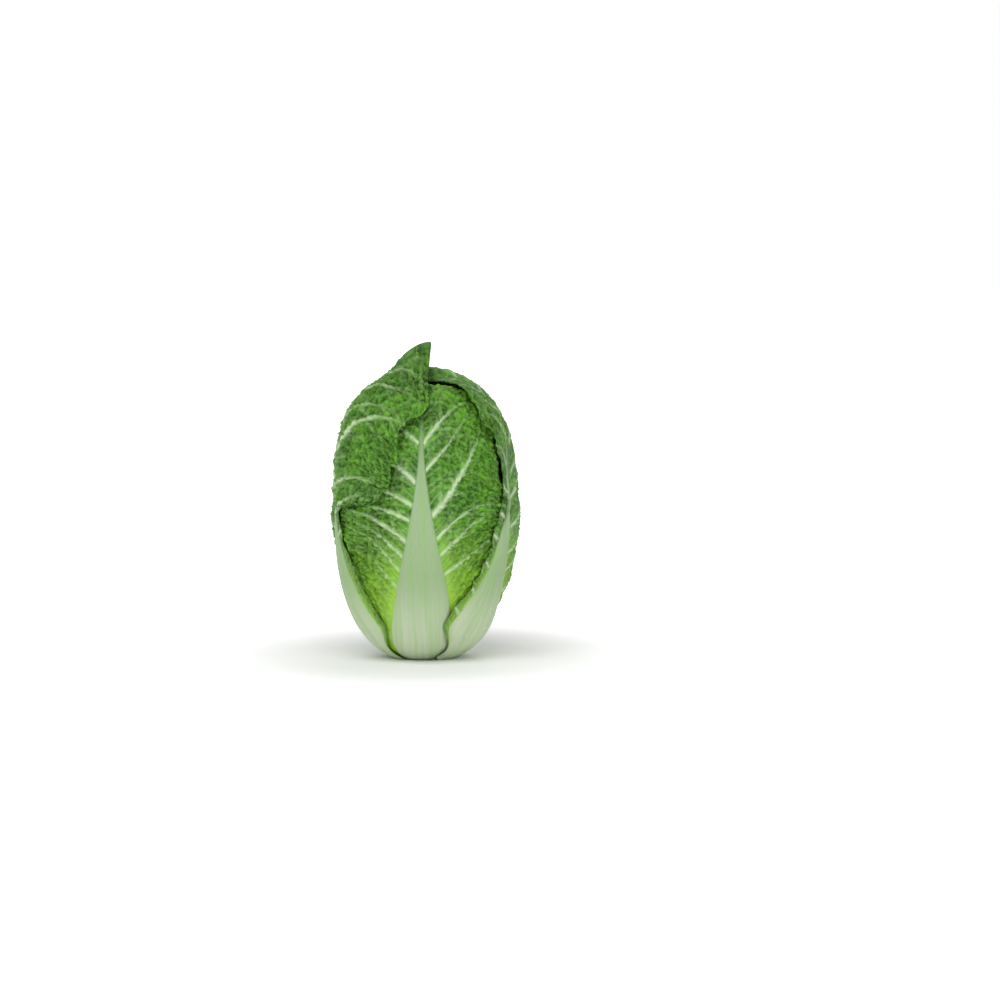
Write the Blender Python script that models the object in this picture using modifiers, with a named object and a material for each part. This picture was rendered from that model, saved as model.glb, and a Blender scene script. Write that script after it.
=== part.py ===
"""A napa cabbage head, standing on its trimmed butt.

Metres, +Z up, origin at the centre of the cut face. The head faces -Y. Every leaf is a thin closed solid
laid over a barrel-shaped form: its place on the barrel comes from a flat leaf layout, and its height over
the barrel comes from the leaves that it lies on. The knife then trims all the leaf bases at z = 0.
"""
import math
from collections import namedtuple

import bmesh
import bpy
import numpy as np
from mathutils import Vector
from mathutils.bvhtree import BVHTree

# The packed head under its wrapper leaves, a barrel of revolution.
BARREL_RADIUS = 0.0720
WAIST_Z = 0.150
FOOT_Z = 0.0034
CROWN_Z = 0.257
FOOT_FULLNESS = 2.65
CROWN_FULLNESS = 3.15
ROUNDNESS = 2.2
PROFILE_SAMPLES = 721

# The stem that the leaves grow from, the knife's cut, and the packed heart in the middle.
STEM_RADIUS = 0.0240
STEM_HEIGHT = 0.044
STEM_DOME = 0.8
STEM_FOOT_SHARE = 0.96
STEM_SIDES = 28
CLEARANCE = 0.0004
KNIFE_SIZE = 0.30
HEART_DROP = 0.0012
HEART_FLOOR_Z = 0.012
HEART_LEAVES = 5
HEART_STEP = 0.0011

# The flat leaf: its rib takes the middle third of the grid, and narrow wings follow the stalk.
BASE_LENGTH = 0.0140
RIB_SHARE = 1 / 3
RIB_TIP_HALF = 0.0012
RIB_FULL = (0.05, 0.75)
PINCH_RUN = (-0.060, 0.050)
WING = 0.006
WING_START = (0.008, 0.050)
SPLAY_END = 0.050
ROOM_WIDTH = 0.045
TIP_SHARE = 0.95
SWEEP = 0.7
SPREAD_SHARE = 0.35
VEIN_BOW = 0.15
RIPPLE = 0.035
RIPPLE_RUN = 0.0085
RIPPLE_BEAT = 0.021

# The leaf's section: the stalk is thin at its root, thickest 65 mm up, and thins out towards the tip.
BLADE_THICKNESS = 0.0011
STALK_ROOT_SHARE = 0.25
STALK_ROOT = (0.008, 0.065)
STALK_TAPER = 1.2
VEIN_HEIGHT = 0.0020

# How a leaf settles on those beneath it.
LAYER_GAP = 0.0008
FINE = 3
DRAPE_ROUNDS = 12
EASING = 0.0005
EASING_ROUNDS = 12
RAY_HEIGHT = 0.10

GOLDEN_ANGLE = 137.5

# Margins of the two blades that fold over the front: (along, across) in metres, from the rib out.
LEFT_LOBE = (
    (0.156, 0.012), (0.168, 0.0245), (0.1745, 0.0435), (0.181, 0.060), (0.1935, 0.071), (0.2105, 0.0805),
    (0.237, 0.090), (0.258, 0.0885), (0.268, 0.0815), (0.278, 0.0745), (0.291, 0.073), (0.302, 0.0715),
    (0.309, 0.067), (0.3135, 0.0615), (0.3145, 0.051), (0.3155, 0.0405), (0.316, 0.025), (0.3175, 0.012), (0.322, 0),
)
RIGHT_FOLD = (
    (0.165, 0), (0.180, 0.006), (0.1935, 0.011), (0.200, 0.015), (0.214, 0.023), (0.228, 0.031), (0.253, 0.043),
    (0.274, 0.036), (0.284, 0.0265), (0.295, 0.016), (0.322, 0),
)

Side = namedtuple("Side", "start width widest fullness margin", defaults=((),))
Leaf = namedtuple(
    "Leaf",
    "name azimuth lean length rib_half rib_end rib_thickness left right veins wave lift_from lift flare cells material",
)


def barrel_profile():
    """Radius and height of the barrel, evenly spaced along its surface from the foot to the crown."""
    swing = np.linspace(-math.pi / 2, math.pi / 2, PROFILE_SAMPLES)
    reach = np.abs(np.sin(swing))
    below = swing < 0
    height = np.where(
        below,
        WAIST_Z - (WAIST_Z - FOOT_Z) * reach,
        WAIST_Z + (CROWN_Z - WAIST_Z) * reach,
    )
    fullness = np.where(below, FOOT_FULLNESS, CROWN_FULLNESS)
    radius = BARREL_RADIUS * np.clip(1 - reach**fullness, 0, 1) ** (1 / ROUNDNESS)
    run = np.concatenate([[0], np.cumsum(np.hypot(np.diff(radius), np.diff(height)))])
    even = np.linspace(0, run[-1], PROFILE_SAMPLES)
    return np.interp(even, run, radius), np.interp(even, run, height), run[-1]


RADII, HEIGHTS, MERIDIAN = barrel_profile()
SHARES = np.linspace(0, 1, PROFILE_SAMPLES)
SLOPE_R = np.gradient(RADII, SHARES)
SLOPE_Z = np.gradient(HEIGHTS, SHARES)
SPREAD = RADII[20:-20] / np.cos((SHARES[20:-20] - 0.5) * math.pi)


def smoothstep(low, high, value):
    t = np.clip((value - low) / (high - low), 0, 1)
    return t * t * (3 - 2 * t)


def on_barrel(direction):
    """Point and outward normal of the barrel in a direction, given as unit vectors."""
    share = np.arcsin(np.clip(direction[..., 2], -1, 1)) / math.pi + 0.5
    level = np.maximum(np.hypot(direction[..., 0], direction[..., 1]), 1e-9)
    east, north = direction[..., 0] / level, direction[..., 1] / level
    radius = np.interp(share, SHARES, RADII)
    height = np.interp(share, SHARES, HEIGHTS)
    out = np.interp(share, SHARES, SLOPE_Z)
    up = -np.interp(share, SHARES, SLOPE_R)
    size = np.hypot(out, up)
    point = np.stack([radius * east, radius * north, height], -1)
    normal = np.stack([out / size * east, out / size * north, up / size], -1)
    return point, normal


def leaf_direction(leaf, across, along):
    """Direction from the barrel's middle for a spot of the flat leaf, which is across, along in metres."""
    share = (BASE_LENGTH + along) / MERIDIAN
    rise = (share - 0.5) * math.pi
    folded = np.where(share > 1, 2 - share, share)
    turn = across / np.interp(folded, SHARES[20:-20], SPREAD)
    turned, low, high, splay = leaf.lean
    foot = 1 - smoothstep(0, SPLAY_END, along)
    azimuth = np.radians(leaf.azimuth + turned * smoothstep(low, high, along / leaf.length) + splay * foot)
    forward = np.cos(turn) * np.cos(rise)
    return np.stack(
        [
            forward * np.sin(azimuth) + np.sin(turn) * np.cos(azimuth),
            -forward * np.cos(azimuth) + np.sin(turn) * np.sin(azimuth),
            np.cos(turn) * np.sin(rise),
        ],
        -1,
    )


def rib_half_width(leaf, along):
    taper = np.clip(1 - along / (leaf.length * leaf.rib_end), 0, 1)
    pinch = smoothstep(*PINCH_RUN, along)
    return RIB_TIP_HALF + leaf.rib_half * pinch * taper * smoothstep(*RIB_FULL, taper)


def outline(leaf, side, along):
    """Half width of the blade on one side: a narrow wing by the stalk, then the full blade."""
    share = np.clip((along - side.start) / (leaf.length - side.start), 0, 1)
    rising = np.sin(np.minimum(share / side.widest, 1) * math.pi / 2)
    past = np.clip((share - side.widest) / (1 - side.widest), 0, 1)
    closing = (1 - past**side.fullness) ** (1 / side.fullness)
    narrow = rib_half_width(leaf, along) + WING * smoothstep(*WING_START, along)
    beat = np.sin(along / RIPPLE_BEAT + 2 * leaf.azimuth)
    ripple = 1 + RIPPLE * np.sin(along / RIPPLE_RUN + leaf.azimuth) * beat
    wide = np.interp(along, *np.transpose(side.margin)) if side.margin else side.width * rising * closing
    return np.maximum(wide, narrow * closing) * ripple


def feather(leaf, side, blade, row):
    """Flat place of a blade spot: rows run from the rib up and out to the margin, as the side veins do."""
    along = np.linspace(0, leaf.length, 400)
    edge = outline(leaf, side, along)
    run = np.concatenate([[0], np.cumsum(np.hypot(np.diff(edge), np.diff(along)))])
    kept = run <= run[-1] * TIP_SHARE
    along, edge, run = along[kept], edge[kept], run[kept]
    root = np.maximum.accumulate(along - SWEEP * (edge - edge[0])) + SPREAD_SHARE * run
    root = (root - root[0]) / (root[-1] - root[0])
    margin_along = np.interp(row, root, along)
    margin_across = np.interp(row, root, edge)
    rib_along = row * leaf.length
    rib_across = np.minimum(rib_half_width(leaf, rib_along), margin_across * 0.9)
    bow = blade + VEIN_BOW * blade * (1 - blade)
    return (
        rib_across + (margin_across - rib_across) * blade,
        rib_along + (margin_along - rib_along) * bow,
    )


def blade_share(u):
    """How far out over the blade a grid spot is: 0 all over the rib, 1 at the margin."""
    return np.clip((np.abs(u) - RIB_SHARE) / (1 - RIB_SHARE), 0, 1)


def flat_leaf(leaf, u, v):
    """Across and along of the grid spot u in [-1, 1], v in [0, 1]. The middle third of u is the rib."""
    rib_share = np.clip(np.abs(u) / RIB_SHARE, 0, 1)
    right = feather(leaf, leaf.right, blade_share(u), v)
    left = feather(leaf, leaf.left, blade_share(u), v)
    across = np.where(u > 0, right[0], left[0])
    along = np.where(u > 0, right[1], left[1])
    across = np.where(rib_share < 1, across * rib_share, across)
    return np.sign(u) * across, along


def blade_room(leaf, u, v):
    """1 where the blade is broad, and less where it is only a narrow wing beside the rib."""
    margin = np.abs(flat_leaf(leaf, np.where(u > 0, 1.0, -1.0), v)[0])
    return smoothstep(0, ROOM_WIDTH, margin - rib_half_width(leaf, v * leaf.length))


def section(leaf, u, v, along):
    """Thickness of the leaf at a grid spot: a crescent stalk and rib, ridged side veins, a thin blade."""
    crest = np.sqrt(np.clip(1 - (u / RIB_SHARE) ** 2, 0, 1))
    root = STALK_ROOT_SHARE + (1 - STALK_ROOT_SHARE) * smoothstep(*STALK_ROOT, along)
    return BLADE_THICKNESS + leaf.rib_thickness * np.clip(1 - v, 0, 1) ** STALK_TAPER * root * crest


def relief(leaf, u, v):
    """Height of both faces over the drape: side veins stand out, and the blade waves towards its margin."""
    blade = blade_share(u)
    vein = 0.5 + 0.5 * np.cos(2 * math.pi * v * leaf.veins)
    frill = 0.5 + 0.5 * np.sin(2 * math.pi * v * leaf.veins * 0.5 + leaf.azimuth)
    ridges = VEIN_HEIGHT * vein * smoothstep(0, 0.15, blade) * (1 - 0.5 * blade)
    return (ridges + leaf.wave * frill * blade**2) * blade_room(leaf, u, v)


def lift(leaf, u, v, along):
    """How far the leaf stands off the head at its tip, and at a margin that curls away."""
    middle = 1 - 0.9 * smoothstep(0.2, 0.8, np.abs(u))
    tip = leaf.lift * smoothstep(leaf.lift_from, leaf.length, along) * middle
    side = np.where(u > 0, leaf.flare[1], leaf.flare[0])
    curl = side * smoothstep(0.5, 1.0, np.abs(u)) * smoothstep(0.15, 0.60, v) * (1 - smoothstep(0.75, 1, v))
    return tip + curl


def blurred(grid):
    padded = np.pad(grid, 1, mode="edge")
    return sum(
        weight * padded[1 + i : 1 + i + grid.shape[0], 1 + j : 1 + j + grid.shape[1]]
        for i, j, weight in ((0, 0, 0.4), (-1, 0, 0.15), (1, 0, 0.15), (0, -1, 0.15), (0, 1, 0.15))
    )


def drape(leaf, columns, rows, beneath):
    """Height at which the leaf lies over those beneath it, like a cloth pulled taut."""
    fine_u = np.linspace(-1, 1, FINE * columns + 1)
    fine_v = np.linspace(0, 1, FINE * rows + 1)
    u, v = np.meshgrid(fine_u, fine_v)
    across, along = flat_leaf(leaf, u, v)
    point, normal = on_barrel(leaf_direction(leaf, across, along))
    support = np.zeros(u.shape)
    for index in np.ndindex(u.shape):
        start = Vector(point[index] + normal[index] * RAY_HEIGHT)
        for tree in beneath:
            distance = tree.ray_cast(start, Vector(-normal[index]))[3]
            if distance is not None:
                support[index] = max(support[index], RAY_HEIGHT - distance)
    padded = np.pad(support, FINE, mode="edge")
    window = range(2 * FINE + 1)
    nearby = [padded[i : i + support.shape[0], j : j + support.shape[1]] for i in window for j in window]
    floor = np.max(nearby, axis=0)[::FINE, ::FINE] + LAYER_GAP
    height = floor.copy()
    for _ in range(DRAPE_ROUNDS):
        height = np.maximum(floor, blurred(height))
    return height


def slab(name, columns, rows):
    """A closed two-sided grid: x is u, y is v, and z is 0 on the inner face and 1 on the outer."""
    bpy.ops.mesh.primitive_grid_add(x_subdivisions=columns, y_subdivisions=rows, size=2)
    obj = bpy.context.object
    obj.name = obj.data.name = name
    bm = bmesh.new()
    bm.from_mesh(obj.data)
    bmesh.ops.triangulate(bm, faces=bm.faces[:], quad_method="FIXED")
    made = bmesh.ops.extrude_face_region(bm, geom=bm.faces[:], use_keep_orig=True)["geom"]
    for vertex in (item for item in made if isinstance(item, bmesh.types.BMVert)):
        vertex.co.z = 1
    bmesh.ops.recalc_face_normals(bm, faces=bm.faces[:])
    bm.to_mesh(obj.data)
    bm.free()
    return obj


def make_leaf(leaf, beneath, home, cutters):
    """One leaf, laid over those beneath it. Returns its tree for the leaves that lie on it."""
    columns, rows = leaf.cells
    height = drape(leaf, columns, rows, beneath)
    obj = slab(leaf.name, columns, rows)
    faces = [tuple(face.vertices) for face in obj.data.polygons]
    grid = np.array([vertex.co for vertex in obj.data.vertices])
    u, v = grid[:, 0], (grid[:, 1] + 1) / 2
    across, along = flat_leaf(leaf, u, v)
    point, normal = on_barrel(leaf_direction(leaf, across, along))
    column = np.rint((u + 1) / 2 * columns).astype(int)
    row = np.rint(v * rows).astype(int)
    stand = relief(leaf, u, v) + lift(leaf, u, v, along) + grid[:, 2] * section(leaf, u, v, along)
    for _ in range(EASING_ROUNDS):
        place = point + normal * (height[row, column] + stand)[:, None]
        tree = BVHTree.FromPolygons(place.tolist(), faces)
        touching = {face for other in beneath for face, _ in tree.overlap(other)}
        if not touching:
            break
        corners = list({corner for face in touching for corner in faces[face]})
        eased = height.copy()
        eased[row[corners], column[corners]] += EASING
        height = np.maximum(eased, blurred(eased))
    obj.data.vertices.foreach_set("co", place.astype(np.float32).ravel())
    obj.data.update()
    for cutter in cutters:
        trim(obj, cutter)
    finish(obj, home, leaf.material)
    return tree


def trim(obj, cutter):
    cut = obj.modifiers.new(cutter.name, "BOOLEAN")
    cut.operation = "DIFFERENCE"
    cut.object = cutter
    cut.solver = "EXACT"


def finish(obj, home, material):
    """Puts the object in the head's collection, shaded smooth, with its material."""
    for collection in obj.users_collection:
        collection.objects.unlink(obj)
    home.objects.link(obj)
    obj.data.materials.clear()
    obj.data.materials.append(material)
    obj.data.shade_smooth()


def make_heart(home, stem_cutter, material):
    """The packed inner leaves: a dense core whose leaf margins stand out in a golden-angle spiral."""
    bpy.ops.mesh.primitive_uv_sphere_add(segments=36, ring_count=22, radius=1)
    obj = bpy.context.object
    obj.name = obj.data.name = "heart"
    direction = np.array([vertex.co.normalized() for vertex in obj.data.vertices])
    point, normal = on_barrel(direction)
    azimuth = np.degrees(np.arctan2(direction[:, 0], -direction[:, 1]))
    sink = np.full(len(direction), HEART_DROP + HEART_LEAVES * HEART_STEP)
    for number in range(HEART_LEAVES):
        away = np.abs((azimuth - number * GOLDEN_ANGLE + 180) % 360 - 180)
        sink -= HEART_STEP * (1 - smoothstep(52, 62, away))
    place = point - normal * sink[:, None]
    place[:, 2] = np.maximum(place[:, 2], HEART_FLOOR_Z)
    obj.data.vertices.foreach_set("co", place.astype(np.float32).ravel())
    obj.data.update()
    trim(obj, stem_cutter)
    finish(obj, home, material)


def turned_stem(name, grow):
    """The short stem, a turned profile from the rounded top down its side to the cut face."""
    radius, height = STEM_RADIUS + grow, STEM_HEIGHT + grow
    dome = [
        (radius * math.sin(a), height - radius * STEM_DOME * (1 - math.cos(a)))
        for a in np.linspace(0, math.pi / 2, 7)
    ]
    bottom = -grow * 20
    profile = dome + [(radius * STEM_FOOT_SHARE, bottom), (0, bottom)]
    mesh = bpy.data.meshes.new(name)
    mesh.from_pydata(
        [(x, 0, z) for x, z in profile],
        [(i, i + 1) for i in range(len(profile) - 1)],
        [],
    )
    obj = bpy.data.objects.new(name, mesh)
    bpy.context.scene.collection.objects.link(obj)
    screw = obj.modifiers.new("turn", "SCREW")
    screw.steps = screw.render_steps = STEM_SIDES
    screw.use_merge_vertices = True
    screw.merge_threshold = 0.00005
    return obj


def make_material(name, colour, roughness):
    material = bpy.data.materials.new(name)
    material.use_nodes = True
    shader = material.node_tree.nodes["Principled BSDF"]
    shader.inputs["Base Color"].default_value = (*colour, 1)
    shader.inputs["Roughness"].default_value = roughness
    shader.inputs["Metallic"].default_value = 0
    return material


def leaf_list(green, pale):
    """Innermost first: they step round the stem by about the golden angle, and the side leaves close last."""
    full = Side(start=-0.020, width=0.080, widest=0.53, fullness=2.8)
    inner = dict(
        lean=(0, 0, 1, 0), rib_half=0.022, rib_end=0.97, rib_thickness=0.0045, left=full, right=full, veins=9,
        wave=0.0006, lift_from=0.29, lift=0, flare=(0, 0), cells=(12, 18), material=pale,
    )
    wrapper = dict(
        lean=(0, 0, 1, 0), rib_half=0.031, rib_end=0.97, rib_thickness=0.0075, left=full, right=full, veins=13,
        wave=0.003, lift_from=0.27, lift=0, flare=(0, 0), cells=(18, 26), material=green,
    )
    right = dict(
        lean=(30, 0.4, 0.85, 26), rib_half=0.043, rib_end=0.62, wave=0.004, lift_from=0.28, lift=0.010, flare=(0, 0.010),
        left=Side(start=0.180, width=0, widest=0.55, fullness=3.0, margin=RIGHT_FOLD),
        right=Side(start=0.000, width=0.066, widest=0.55, fullness=2.8),
    )
    left = dict(
        lean=(-12, 0.1, 0.8, -26), rib_half=0.034, rib_end=0.97, wave=0.004, lift_from=0.280, lift=0.0235, flare=(0, 0.002),
        left=Side(start=0.010, width=0.078, widest=0.50, fullness=2.8),
        right=Side(start=0.150, width=0, widest=0.55, fullness=3.0, margin=LEFT_LOBE),
    )
    front = dict(left=Side(-0.045, 0.080, 0.53, 2.8), right=Side(-0.045, 0.094, 0.53, 2.8))
    return [
        Leaf(name="inner_leaf_left", azimuth=-118, length=0.308, **inner),
        Leaf(name="inner_leaf_right", azimuth=105, length=0.302, **inner),
        Leaf(name="inner_leaf_front", azimuth=-32, length=0.302, **inner),
        Leaf(name="back_leaf", azimuth=-165, length=0.310, **wrapper),
        Leaf(name="back_right_leaf", azimuth=137.5, length=0.304, **wrapper),
        Leaf(name="front_leaf", azimuth=0, length=0.298, **{**wrapper, **front}),
        Leaf(name="right_leaf", azimuth=60, length=0.322, **{**wrapper, **right}),
        Leaf(name="left_leaf", azimuth=-70, length=0.322, **{**wrapper, **left}),
    ]


def main():
    for obj in list(bpy.data.objects):
        bpy.data.objects.remove(obj)
    head = bpy.data.collections.new("napa_cabbage")
    cutters = bpy.data.collections.new("cutters")
    bpy.context.scene.collection.children.link(head)
    bpy.context.scene.collection.children.link(cutters)
    green = make_material("leaf_green", (0.10, 0.24, 0.04), 0.5)
    pale = make_material("leaf_pale", (0.42, 0.52, 0.16), 0.5)
    yellow = make_material("heart_yellow", (0.80, 0.70, 0.24), 0.55)
    ivory = make_material("stem_ivory", (0.78, 0.76, 0.58), 0.6)

    bpy.ops.mesh.primitive_cube_add(size=KNIFE_SIZE, location=(0, 0, -KNIFE_SIZE / 2))
    knife = bpy.context.object
    knife.name = "knife"
    socket = turned_stem("stem_socket", CLEARANCE)
    for cutter in (knife, socket):
        for collection in cutter.users_collection:
            collection.objects.unlink(cutter)
        cutters.objects.link(cutter)
        cutter.hide_render = True
        cutter.display_type = "WIRE"

    stem = turned_stem("stem", 0)
    finish(stem, head, ivory)
    make_heart(head, socket, yellow)
    beneath = []
    for leaf in leaf_list(green, pale):
        beneath.append(make_leaf(leaf, beneath, head, (knife, socket)))
        print(leaf.name, "laid over", len(beneath) - 1, "leaves")


main()
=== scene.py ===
# %% [markdown]
# # A napa cabbage head
# The head is a packed barrel of leaves. Broad, pale ribs rise from the trimmed butt, and crinkled green
# blades wrap round the barrel, each leaf lying on those that grew after it. Every leaf is laid out flat
# first, as if pressed, with its rib, its side veins and its margin, and is then wrapped round the barrel
# and settled on the leaves beneath it. That way a vein stays a vein wherever the leaf bends.

import math
from collections import namedtuple

import bpy
import numpy as np
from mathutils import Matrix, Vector
from mathutils.bvhtree import BVHTree


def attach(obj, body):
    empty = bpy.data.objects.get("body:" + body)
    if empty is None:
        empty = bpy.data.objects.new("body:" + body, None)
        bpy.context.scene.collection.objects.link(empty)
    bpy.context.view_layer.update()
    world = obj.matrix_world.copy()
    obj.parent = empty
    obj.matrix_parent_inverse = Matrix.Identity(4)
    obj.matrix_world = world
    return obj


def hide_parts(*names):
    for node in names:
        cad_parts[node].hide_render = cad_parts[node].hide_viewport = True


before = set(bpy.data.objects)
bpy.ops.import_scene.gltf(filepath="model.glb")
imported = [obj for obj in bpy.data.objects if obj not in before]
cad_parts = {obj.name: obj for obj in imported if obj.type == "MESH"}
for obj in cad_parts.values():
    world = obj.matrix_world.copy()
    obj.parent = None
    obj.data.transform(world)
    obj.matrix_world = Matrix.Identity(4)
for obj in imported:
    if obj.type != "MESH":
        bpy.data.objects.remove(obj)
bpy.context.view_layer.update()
scene = bpy.context.scene

# %% [markdown]
# ## The barrel
# Under its wrappers the head is close to a body of revolution: full at the waist, flat under the foot and
# round at the crown. One profile curve gives it, and every leaf is placed by a direction from its middle
# and a height over its skin. A height over a common skin keeps the layers apart by themselves.

# %% The barrel's profile
BARREL_RADIUS = 0.0715
WAIST_Z = 0.150
FOOT_Z = 0.0022
CROWN_Z = 0.257
FOOT_FULLNESS = 2.65
CROWN_FULLNESS = 3.15
ROUNDNESS = 2.2
PROFILE_SAMPLES = 721
POLE_SAMPLES = 20


def barrel_profile():
    """Radius and height of the barrel, evenly spaced along its skin from the foot to the crown."""
    swing = np.linspace(-math.pi / 2, math.pi / 2, PROFILE_SAMPLES)
    reach = np.abs(np.sin(swing))
    below = swing < 0
    height = np.where(
        below,
        WAIST_Z - (WAIST_Z - FOOT_Z) * reach,
        WAIST_Z + (CROWN_Z - WAIST_Z) * reach,
    )
    fullness = np.where(below, FOOT_FULLNESS, CROWN_FULLNESS)
    radius = BARREL_RADIUS * np.clip(1 - reach**fullness, 0, 1) ** (1 / ROUNDNESS)
    run = np.concatenate([[0], np.cumsum(np.hypot(np.diff(radius), np.diff(height)))])
    even = np.linspace(0, run[-1], PROFILE_SAMPLES)
    return np.interp(even, run, radius), np.interp(even, run, height), run[-1]


RADII, HEIGHTS, MERIDIAN = barrel_profile()
SHARES = np.linspace(0, 1, PROFILE_SAMPLES)
SLOPE_R = np.gradient(RADII, SHARES)
SLOPE_Z = np.gradient(HEIGHTS, SHARES)
INNER = slice(POLE_SAMPLES, -POLE_SAMPLES)
SPREAD = RADII[INNER] / np.cos((SHARES[INNER] - 0.5) * math.pi)
print("barrel", round(2000 * RADII.max()), "mm across")
print("skin from foot to crown", round(1000 * MERIDIAN), "mm")


# %% A place on the barrel
BASE_LENGTH = 0.0140
SPLAY_END = 0.050


def smoothstep(low, high, value):
    t = np.clip((value - low) / (high - low), 0, 1)
    return t * t * (3 - 2 * t)


def on_barrel(direction):
    """Point and outward normal of the barrel in a direction, given as unit vectors."""
    share = np.arcsin(np.clip(direction[..., 2], -1, 1)) / math.pi + 0.5
    level = np.maximum(np.hypot(direction[..., 0], direction[..., 1]), 1e-9)
    east, north = direction[..., 0] / level, direction[..., 1] / level
    radius = np.interp(share, SHARES, RADII)
    height = np.interp(share, SHARES, HEIGHTS)
    out = np.interp(share, SHARES, SLOPE_Z)
    up = -np.interp(share, SHARES, SLOPE_R)
    size = np.hypot(out, up)
    point = np.stack([radius * east, radius * north, height], -1)
    normal = np.stack([out / size * east, out / size * north, up / size], -1)
    return point, normal


def leaf_direction(leaf, across, along):
    """Direction from the barrel's middle for a spot of the flat leaf, which is across, along in metres."""
    share = (BASE_LENGTH + along) / MERIDIAN
    rise = (share - 0.5) * math.pi
    folded = np.where(share > 1, 2 - share, share)
    turn = across / np.interp(folded, SHARES[INNER], SPREAD)
    turned, low, high, splay = leaf.lean
    foot = 1 - smoothstep(0, SPLAY_END, along)
    twist = turned * smoothstep(low, high, along / leaf.length)
    azimuth = np.radians(leaf.azimuth + twist + splay * foot)
    forward = np.cos(turn) * np.cos(rise)
    return np.stack(
        [
            forward * np.sin(azimuth) + np.sin(turn) * np.cos(azimuth),
            -forward * np.cos(azimuth) + np.sin(turn) * np.sin(azimuth),
            np.cos(turn) * np.sin(rise),
        ],
        -1,
    )


def along_at(height):
    """How far up a leaf its rib is when it reaches a height over the table."""
    return float(np.interp(height, HEIGHTS, SHARES)) * MERIDIAN - BASE_LENGTH


# %% [markdown]
# ## The flat leaf
# A pressed leaf is a wide rib that narrows to nothing at the tip, with a blade on each side. Its grid is
# laid like a feather: one direction runs up the rib, the other runs from the rib up and out to the margin,
# as side veins do. The middle third of the grid is the rib, so that it gets a fine crown of its own.

# %% Outline and feather layout
RIB_SHARE = 1 / 3
RIB_TIP_HALF = 0.0012
RIB_FULL = (0.05, 0.75)
PINCH_RUN = (-0.060, 0.050)
WING = 0.006
WING_START = (0.008, 0.050)
ROOM_WIDTH = 0.045
TIP_SHARE = 0.95
SWEEP = 0.7
SPREAD_SHARE = 0.35
VEIN_BOW = 0.15
RIPPLE = 0.035
RIPPLE_RUN = 0.0085
RIPPLE_BEAT = 0.021
TOOTH = 0.0012
TOOTH_RUN = 0.0034
JAG = 0.0022
JAG_RUN = 0.0095
TEETH_START = (0.05, 0.12)
OUTLINE_SAMPLES = 1200
RIB_ROOM = 0.9

# Margins of the two blades that fold over the front: (along, across) in metres, from the rib out.
LEFT_LOBE = (
    (0.156, 0.012), (0.168, 0.0245), (0.1745, 0.0435), (0.181, 0.060), (0.1935, 0.071),
    (0.2105, 0.0805), (0.237, 0.090), (0.258, 0.0885), (0.268, 0.0815), (0.278, 0.0745),
    (0.291, 0.073), (0.302, 0.0715), (0.309, 0.067), (0.3135, 0.0615), (0.3145, 0.051),
    (0.3155, 0.0405), (0.316, 0.025), (0.3175, 0.012), (0.322, 0),
)
RIGHT_FOLD = (
    (0.165, 0), (0.180, 0.006), (0.1935, 0.011), (0.200, 0.015), (0.214, 0.023), (0.228, 0.031),
    (0.253, 0.043), (0.274, 0.036), (0.284, 0.0265), (0.295, 0.016), (0.322, 0),
)

Side = namedtuple("Side", "start width widest fullness margin", defaults=((),))
Leaf = namedtuple(
    "Leaf",
    "name seed azimuth lean length rib_half rib_end rib_thickness left right ribs frill wave lift_from lift "
    "flare curl crumple quilt cells material",
)
Curl = namedtuple("Curl", "height start stop low high")
NO_CURL = Curl(0, 0, 1, 0, 1)

# The tables behind the two noises repeat after this many hills or cells.
REPEAT = 64
CELL_JITTER = (0.1, 0.9)
WALL_WIDTH = 0.24


def hills(x, y, size, seed):
    """Smooth noise from -1 to 1, with hills about one size apart."""
    table = np.random.default_rng(seed).uniform(-1, 1, (REPEAT, REPEAT))
    column, row = np.floor(x / size), np.floor(y / size)
    right, up = smoothstep(0, 1, x / size - column), smoothstep(0, 1, y / size - row)
    column, row = column.astype(int) % REPEAT, row.astype(int) % REPEAT
    next_column, next_row = (column + 1) % REPEAT, (row + 1) % REPEAT
    low = table[column, row] * (1 - right) + table[next_column, row] * right
    high = table[column, next_row] * (1 - right) + table[next_column, next_row] * right
    return low * (1 - up) + high * up


def cell_walls(x, y, size, seed):
    """1 on the walls between cells of about one size, falling to 0 inside them."""
    jitter = np.random.default_rng(seed).uniform(*CELL_JITTER, (REPEAT, REPEAT, 2))
    column, row = np.floor(x / size), np.floor(y / size)
    nearest = np.full(x.shape, np.inf)
    second = np.full(x.shape, np.inf)
    for step in np.ndindex(3, 3):
        near_column, near_row = column + step[0] - 1, row + step[1] - 1
        spot = jitter[near_column.astype(int) % REPEAT, near_row.astype(int) % REPEAT]
        distance = np.hypot(near_column + spot[..., 0] - x / size, near_row + spot[..., 1] - y / size)
        second = np.minimum(second, np.maximum(nearest, distance))
        nearest = np.minimum(nearest, distance)
    return 1 - smoothstep(0, WALL_WIDTH, second - nearest)


def rib_half_width(leaf, along):
    """Half width of the rib, pinched at the root and fading out towards the tip."""
    taper = np.clip(1 - along / (leaf.length * leaf.rib_end), 0, 1)
    pinch = smoothstep(*PINCH_RUN, along)
    return RIB_TIP_HALF + leaf.rib_half * pinch * taper * smoothstep(*RIB_FULL, taper)


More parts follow.
